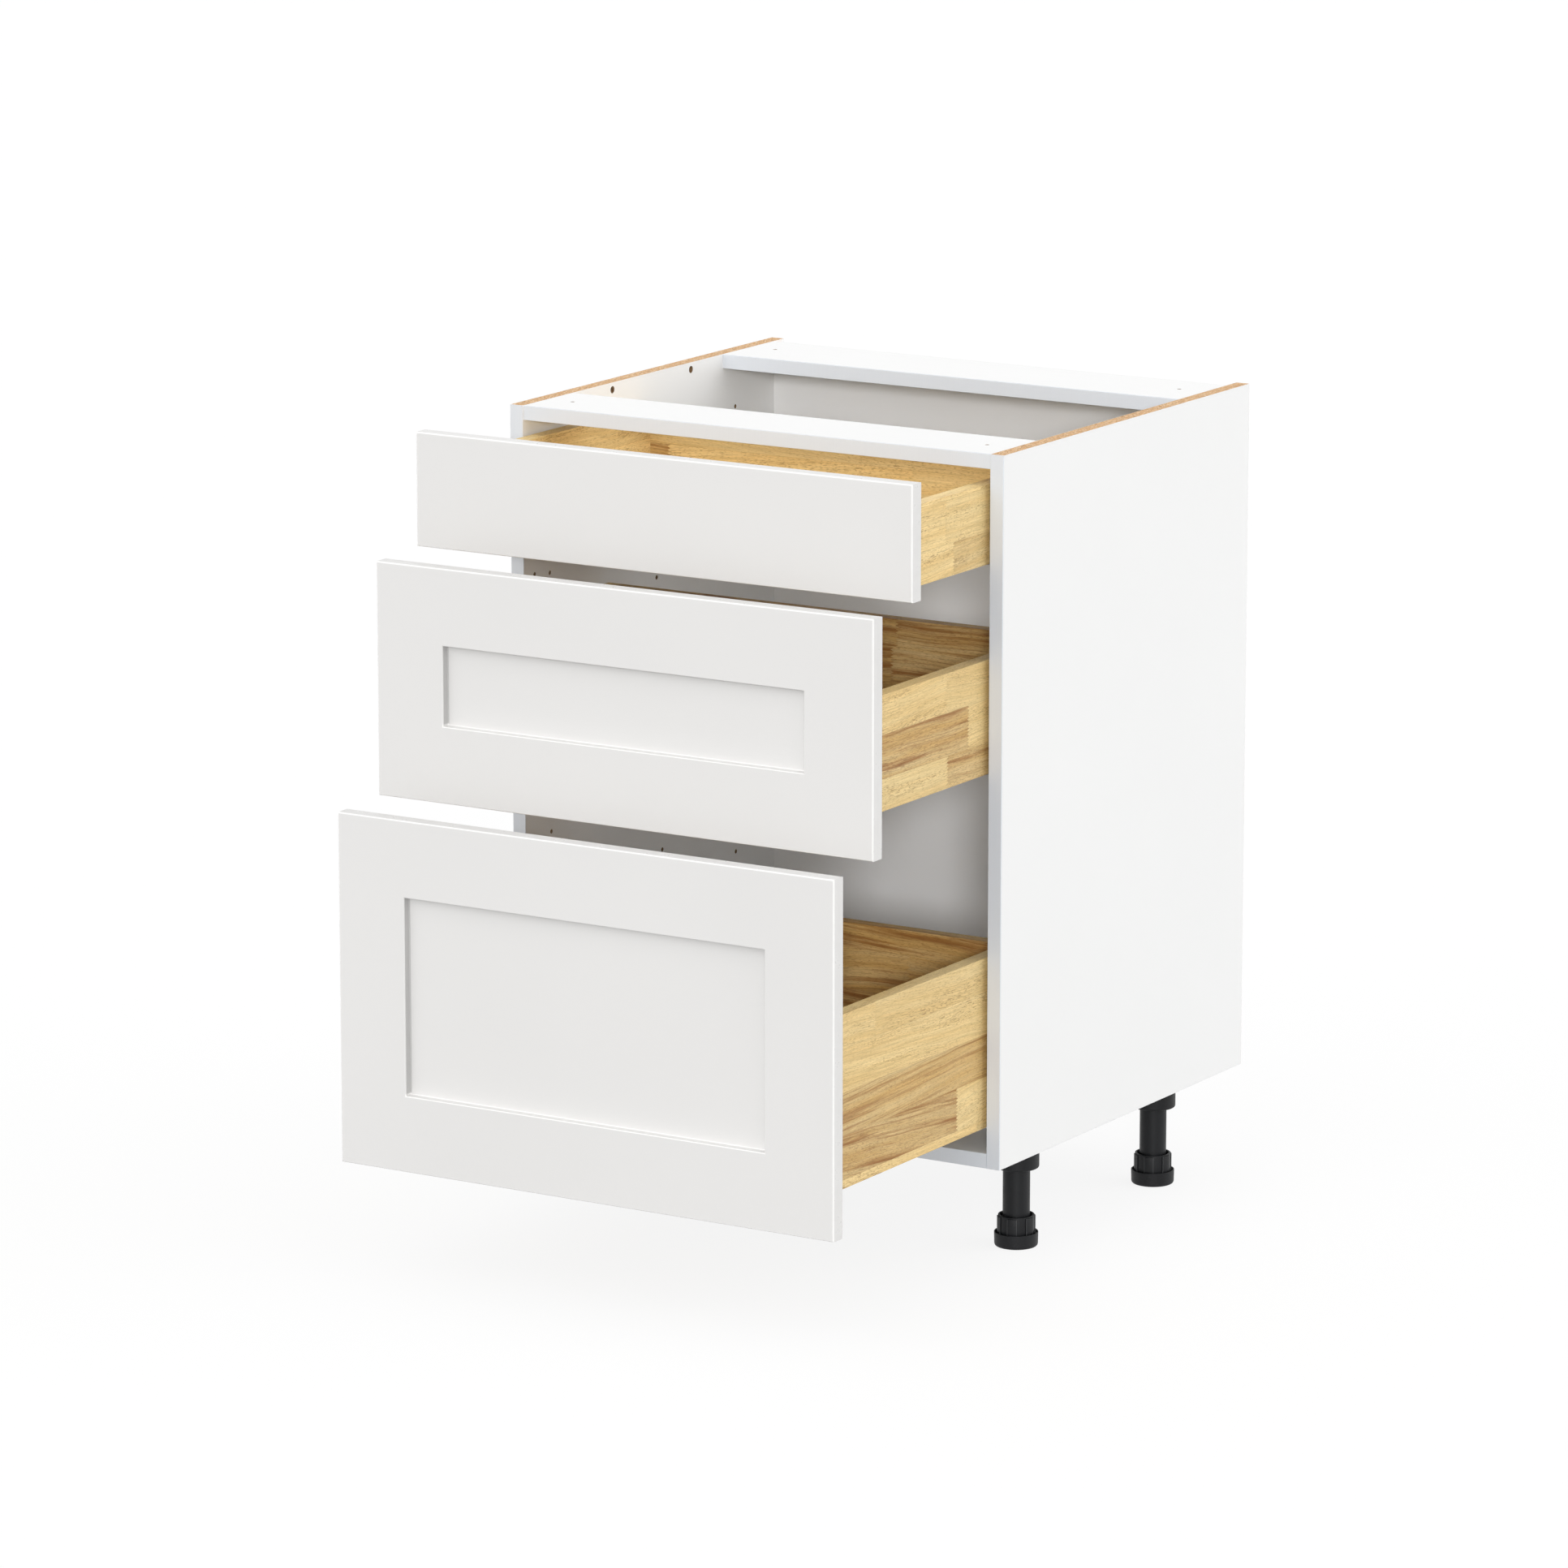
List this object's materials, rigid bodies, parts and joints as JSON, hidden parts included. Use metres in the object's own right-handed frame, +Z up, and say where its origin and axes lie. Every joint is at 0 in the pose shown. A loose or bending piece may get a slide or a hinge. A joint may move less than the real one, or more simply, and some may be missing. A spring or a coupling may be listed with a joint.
{
  "type": "base cabinet with drawers",
  "caption": "Frameless base cabinet on adjustable legs, with a plain upper drawer and framed lower drawers on concealed full-extension runners, open at the top for a worktop.",
  "frame": {"origin": "on the floor, at the middle of the footprint of the cabinet with its drawers at rest", "axes": "+Z up, +Y towards the back, +X to the right as seen from the front; the drawers open along -Y"},
  "size_m": [0.6096, 0.867, 0.8763],
  "materials": {
    "white_board": "white melamine-faced chipboard",
    "white_edge_band": "white edge band, satin",
    "painted_front": "painted fibreboard, light warm grey, satin",
    "drawer_wood": "finger-jointed solid wood, clear lacquer",
    "dowel_wood": "plain beech",
    "zinc_steel": "zinc-plated",
    "zinc_alloy": "die-cast zinc alloy, bare",
    "screw_steel": "zinc-plated",
    "black_plastic": "moulded, satin",
    "clip_plastic": "moulded, grey"
  },
  "bodies": {
    "carcass": {"side_panel_left": "white_board", "side_panel_right": "white_board", "bottom_panel": "white_board", "front_top_rail": "white_board", "rear_top_rail": "white_board", "back_panel": "white_board", "front_edge_bands": "white_edge_band", "carcass_dowels": "dowel_wood", "cam_bolts": "zinc_steel", "cam_locks": "zinc_alloy", "leg_sockets": "black_plastic", "leg_tubes": "black_plastic", "leg_screws": "screw_steel", "runner_screws": "screw_steel", "upper_cabinet_rails": "zinc_steel", "centre_cabinet_rails": "zinc_steel", "lower_cabinet_rails": "zinc_steel"},
    "upper_drawer": {"upper_drawer_front": "painted_front", "upper_box_front": "drawer_wood", "upper_box_back": "drawer_wood", "upper_box_side_left": "drawer_wood", "upper_box_side_right": "drawer_wood", "upper_box_bottom": "drawer_wood", "upper_box_dowels": "dowel_wood", "upper_drawer_rails": "zinc_steel", "upper_front_clips": "clip_plastic", "upper_front_screws": "screw_steel"},
    "upper_links": {"upper_link_rails": "zinc_steel"},
    "centre_drawer": {"centre_drawer_front": "painted_front", "centre_box_front": "drawer_wood", "centre_box_back": "drawer_wood", "centre_box_side_left": "drawer_wood", "centre_box_side_right": "drawer_wood", "centre_box_bottom": "drawer_wood", "centre_box_dowels": "dowel_wood", "centre_drawer_rails": "zinc_steel", "centre_front_clips": "clip_plastic", "centre_front_screws": "screw_steel"},
    "centre_links": {"centre_link_rails": "zinc_steel"},
    "lower_drawer": {"lower_drawer_front": "painted_front", "lower_box_front": "drawer_wood", "lower_box_back": "drawer_wood", "lower_box_side_left": "drawer_wood", "lower_box_side_right": "drawer_wood", "lower_box_bottom": "drawer_wood", "lower_box_dowels": "dowel_wood", "lower_drawer_rails": "zinc_steel", "lower_front_clips": "clip_plastic", "lower_front_screws": "screw_steel"},
    "lower_links": {"lower_link_rails": "zinc_steel"},
    "foot_front_left": {"foot_pad_front_left": "black_plastic"},
    "collar_front_left": {"foot_collar_front_left": "black_plastic"},
    "foot_front_right": {"foot_pad_front_right": "black_plastic"},
    "collar_front_right": {"foot_collar_front_right": "black_plastic"},
    "foot_rear_left": {"foot_pad_rear_left": "black_plastic"},
    "collar_rear_left": {"foot_collar_rear_left": "black_plastic"},
    "foot_rear_right": {"foot_pad_rear_right": "black_plastic"},
    "collar_rear_right": {"foot_collar_rear_right": "black_plastic"}
  },
  "joints": [
    {"name": "upper_drawer_slide", "type": "slide", "parent": "carcass", "child": "upper_drawer", "axis": [0, -1, 0], "range_m": [-0.1615, 0.2235]},
    {"name": "upper_link_slide", "type": "slide", "parent": "carcass", "child": "upper_links", "axis": [0, -1, 0], "range_m": [-0.08075, 0.11175]},
    {"name": "centre_drawer_slide", "type": "slide", "parent": "carcass", "child": "centre_drawer", "axis": [0, -1, 0], "range_m": [-0.2375, 0.1475]},
    {"name": "centre_link_slide", "type": "slide", "parent": "carcass", "child": "centre_links", "axis": [0, -1, 0], "range_m": [-0.11875, 0.07375]},
    {"name": "lower_drawer_slide", "type": "slide", "parent": "carcass", "child": "lower_drawer", "axis": [0, -1, 0], "range_m": [-0.3135, 0.0715]},
    {"name": "lower_link_slide", "type": "slide", "parent": "carcass", "child": "lower_links", "axis": [0, -1, 0], "range_m": [-0.15675, 0.03575]},
    {"name": "foot_front_left_lower", "type": "slide", "parent": "carcass", "child": "foot_front_left", "axis": [0, 0, -1], "range_m": [0, 0.016]},
    {"name": "collar_front_left_turn", "type": "hinge", "parent": "foot_front_left", "child": "collar_front_left", "pos_m": [-0.2605, 0.01355, 0.022], "axis": [0, 0, -1], "range_deg": [0, 1440]},
    {"name": "foot_front_right_lower", "type": "slide", "parent": "carcass", "child": "foot_front_right", "axis": [0, 0, -1], "range_m": [0, 0.016]},
    {"name": "collar_front_right_turn", "type": "hinge", "parent": "foot_front_right", "child": "collar_front_right", "pos_m": [0.2605, 0.01355, 0.022], "axis": [0, 0, -1], "range_deg": [0, 1440]},
    {"name": "foot_rear_left_lower", "type": "slide", "parent": "carcass", "child": "foot_rear_left", "axis": [0, 0, -1], "range_m": [0, 0.016]},
    {"name": "collar_rear_left_turn", "type": "hinge", "parent": "foot_rear_left", "child": "collar_rear_left", "pos_m": [-0.2605, 0.31405, 0.022], "axis": [0, 0, -1], "range_deg": [0, 1440]},
    {"name": "foot_rear_right_lower", "type": "slide", "parent": "carcass", "child": "foot_rear_right", "axis": [0, 0, -1], "range_m": [0, 0.016]},
    {"name": "collar_rear_right_turn", "type": "hinge", "parent": "foot_rear_right", "child": "collar_rear_right", "pos_m": [0.2605, 0.31405, 0.022], "axis": [0, 0, -1], "range_deg": [0, 1440]}
  ],
  "couplings": [
    {"joint": "upper_link_slide", "follows": "upper_drawer_slide", "ratio": 0.5},
    {"joint": "centre_link_slide", "follows": "centre_drawer_slide", "ratio": 0.5},
    {"joint": "lower_link_slide", "follows": "lower_drawer_slide", "ratio": 0.5},
    {"joint": "foot_front_left_lower", "follows": "collar_front_left_turn", "m_per_rad": 0.00063662},
    {"joint": "foot_front_right_lower", "follows": "collar_front_right_turn", "m_per_rad": 0.00063662},
    {"joint": "foot_rear_left_lower", "follows": "collar_rear_left_turn", "m_per_rad": 0.00063662},
    {"joint": "foot_rear_right_lower", "follows": "collar_rear_right_turn", "m_per_rad": 0.00063662}
  ]
}
